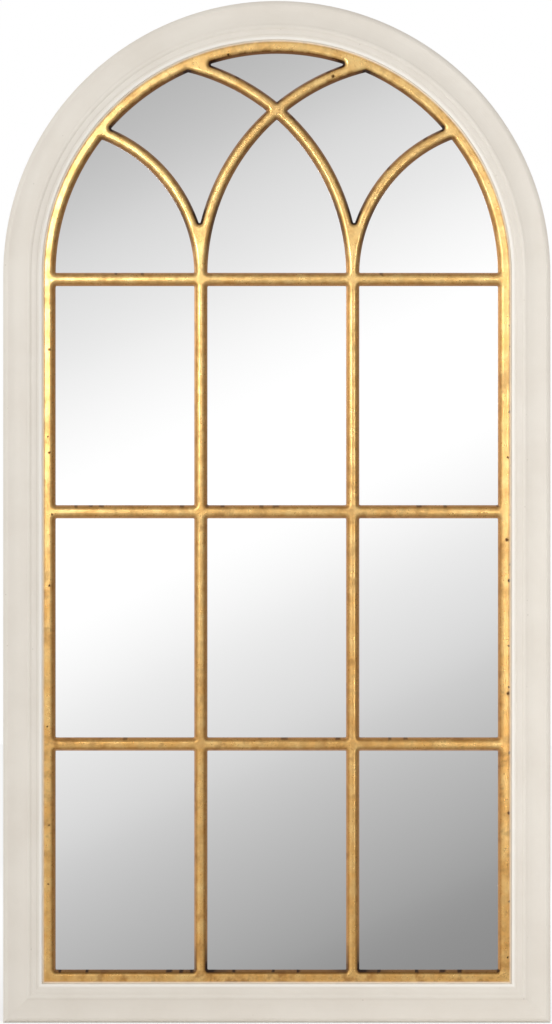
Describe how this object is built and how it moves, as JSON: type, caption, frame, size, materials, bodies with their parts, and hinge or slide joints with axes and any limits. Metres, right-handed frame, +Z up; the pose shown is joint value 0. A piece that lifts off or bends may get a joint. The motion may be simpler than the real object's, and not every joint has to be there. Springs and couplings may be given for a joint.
{
  "type": "window mirror",
  "caption": "Wall mirror made like an arched window: cream moulded frame, gilded lattice of glazing bars with crossing tracery over one mirror sheet, back board on turn buttons, ring hangers.",
  "frame": {"origin": "on the wall plane, midway between the two wall hooks that carry the raised hanger rings", "axes": "+Z up, +X to the viewer's right, the mirror faces -Y and the wall is the plane Y = 0"},
  "size_m": [0.6, 0.0285, 1.12],
  "materials": {
    "frame_paint": "satin",
    "lattice_gilding": "satin",
    "mirror_glass": "polished",
    "back_board": "matte",
    "dowel_beech": "matte",
    "setting_cork": "matte",
    "hardware_steel": "satin",
    "screw_steel": "satin",
    "bumper_rubber": "matte"
  },
  "bodies": {
    "mirror": {"frame_stile_left": "frame_paint", "frame_stile_right": "frame_paint", "frame_bottom_rail": "frame_paint", "frame_arch_left": "frame_paint", "frame_arch_right": "frame_paint", "frame_dowels": "dowel_beech", "corner_v_nails": "screw_steel", "rim_bottom": "lattice_gilding", "rim_left": "lattice_gilding", "rim_right": "lattice_gilding", "rim_arch_left": "lattice_gilding", "rim_arch_right": "lattice_gilding", "muntin_left": "lattice_gilding", "muntin_right": "lattice_gilding", "crossbar_lower_left": "lattice_gilding", "crossbar_lower_centre": "lattice_gilding", "crossbar_lower_right": "lattice_gilding", "crossbar_middle_left": "lattice_gilding", "crossbar_middle_centre": "lattice_gilding", "crossbar_middle_right": "lattice_gilding", "crossbar_upper_left": "lattice_gilding", "crossbar_upper_centre": "lattice_gilding", "crossbar_upper_right": "lattice_gilding", "fork_left": "lattice_gilding", "fork_right": "lattice_gilding", "tracery_short_left": "lattice_gilding", "tracery_short_right": "lattice_gilding", "tracery_long_through": "lattice_gilding", "tracery_long_lower": "lattice_gilding", "tracery_long_upper": "lattice_gilding", "lattice_screws": "screw_steel", "mirror_glass": "mirror_glass", "glass_setting_blocks": "setting_cork", "back_board": "back_board", "turn_button_screws": "screw_steel", "hanger_strap_left": "hardware_steel", "hanger_strap_right": "hardware_steel", "hanger_screws": "screw_steel", "wall_bumpers": "bumper_rubber"},
    "hanger_ring_left": {"hanger_ring_left": "hardware_steel"},
    "hanger_ring_right": {"hanger_ring_right": "hardware_steel"},
    "turn_button_1": {"turn_button_1": "hardware_steel"},
    "turn_button_2": {"turn_button_2": "hardware_steel"},
    "turn_button_3": {"turn_button_3": "hardware_steel"},
    "turn_button_4": {"turn_button_4": "hardware_steel"},
    "turn_button_5": {"turn_button_5": "hardware_steel"},
    "turn_button_6": {"turn_button_6": "hardware_steel"},
    "turn_button_7": {"turn_button_7": "hardware_steel"},
    "turn_button_8": {"turn_button_8": "hardware_steel"},
    "turn_button_9": {"turn_button_9": "hardware_steel"},
    "turn_button_10": {"turn_button_10": "hardware_steel"}
  },
  "joints": [
    {"name": "hanger_swing_left", "type": "hinge", "parent": "mirror", "child": "hanger_ring_left", "pos_m": [-0.283, -0.0036, -0.0185], "axis": [1, 0, 0], "range_deg": [0, 180]},
    {"name": "hanger_swing_right", "type": "hinge", "parent": "mirror", "child": "hanger_ring_right", "pos_m": [0.283, -0.0036, -0.0185], "axis": [1, 0, 0], "range_deg": [0, 180]},
    {"name": "turn_button_pivot_1", "type": "hinge", "parent": "mirror", "child": "turn_button_1", "pos_m": [-0.2765, -0.00635, -0.5381], "axis": [0, 1, 0], "continuous": true},
    {"name": "turn_button_pivot_2", "type": "hinge", "parent": "mirror", "child": "turn_button_2", "pos_m": [-0.2765, -0.00635, -0.2101], "axis": [0, 1, 0], "continuous": true},
    {"name": "turn_button_pivot_3", "type": "hinge", "parent": "mirror", "child": "turn_button_3", "pos_m": [0.2765, -0.00635, -0.5381], "axis": [0, 1, 0], "continuous": true},
    {"name": "turn_button_pivot_4", "type": "hinge", "parent": "mirror", "child": "turn_button_4", "pos_m": [0.2765, -0.00635, -0.2101], "axis": [0, 1, 0], "continuous": true},
    {"name": "turn_button_pivot_5", "type": "hinge", "parent": "mirror", "child": "turn_button_5", "pos_m": [-0.15, -0.00635, -0.695], "axis": [0, 1, 0], "continuous": true},
    {"name": "turn_button_pivot_6", "type": "hinge", "parent": "mirror", "child": "turn_button_6", "pos_m": [0.15, -0.00635, -0.695], "axis": [0, 1, 0], "continuous": true},
    {"name": "turn_button_pivot_7", "type": "hinge", "parent": "mirror", "child": "turn_button_7", "pos_m": [0.25982, -0.00635, 0.19607], "axis": [0, 1, 0], "continuous": true},
    {"name": "turn_button_pivot_8", "type": "hinge", "parent": "mirror", "child": "turn_button_8", "pos_m": [-0.25982, -0.00635, 0.19607], "axis": [0, 1, 0], "continuous": true},
    {"name": "turn_button_pivot_9", "type": "hinge", "parent": "mirror", "child": "turn_button_9", "pos_m": [0.11246, -0.00635, 0.35409], "axis": [0, 1, 0], "continuous": true},
    {"name": "turn_button_pivot_10", "type": "hinge", "parent": "mirror", "child": "turn_button_10", "pos_m": [-0.11246, -0.00635, 0.35409], "axis": [0, 1, 0], "continuous": true}
  ]
}
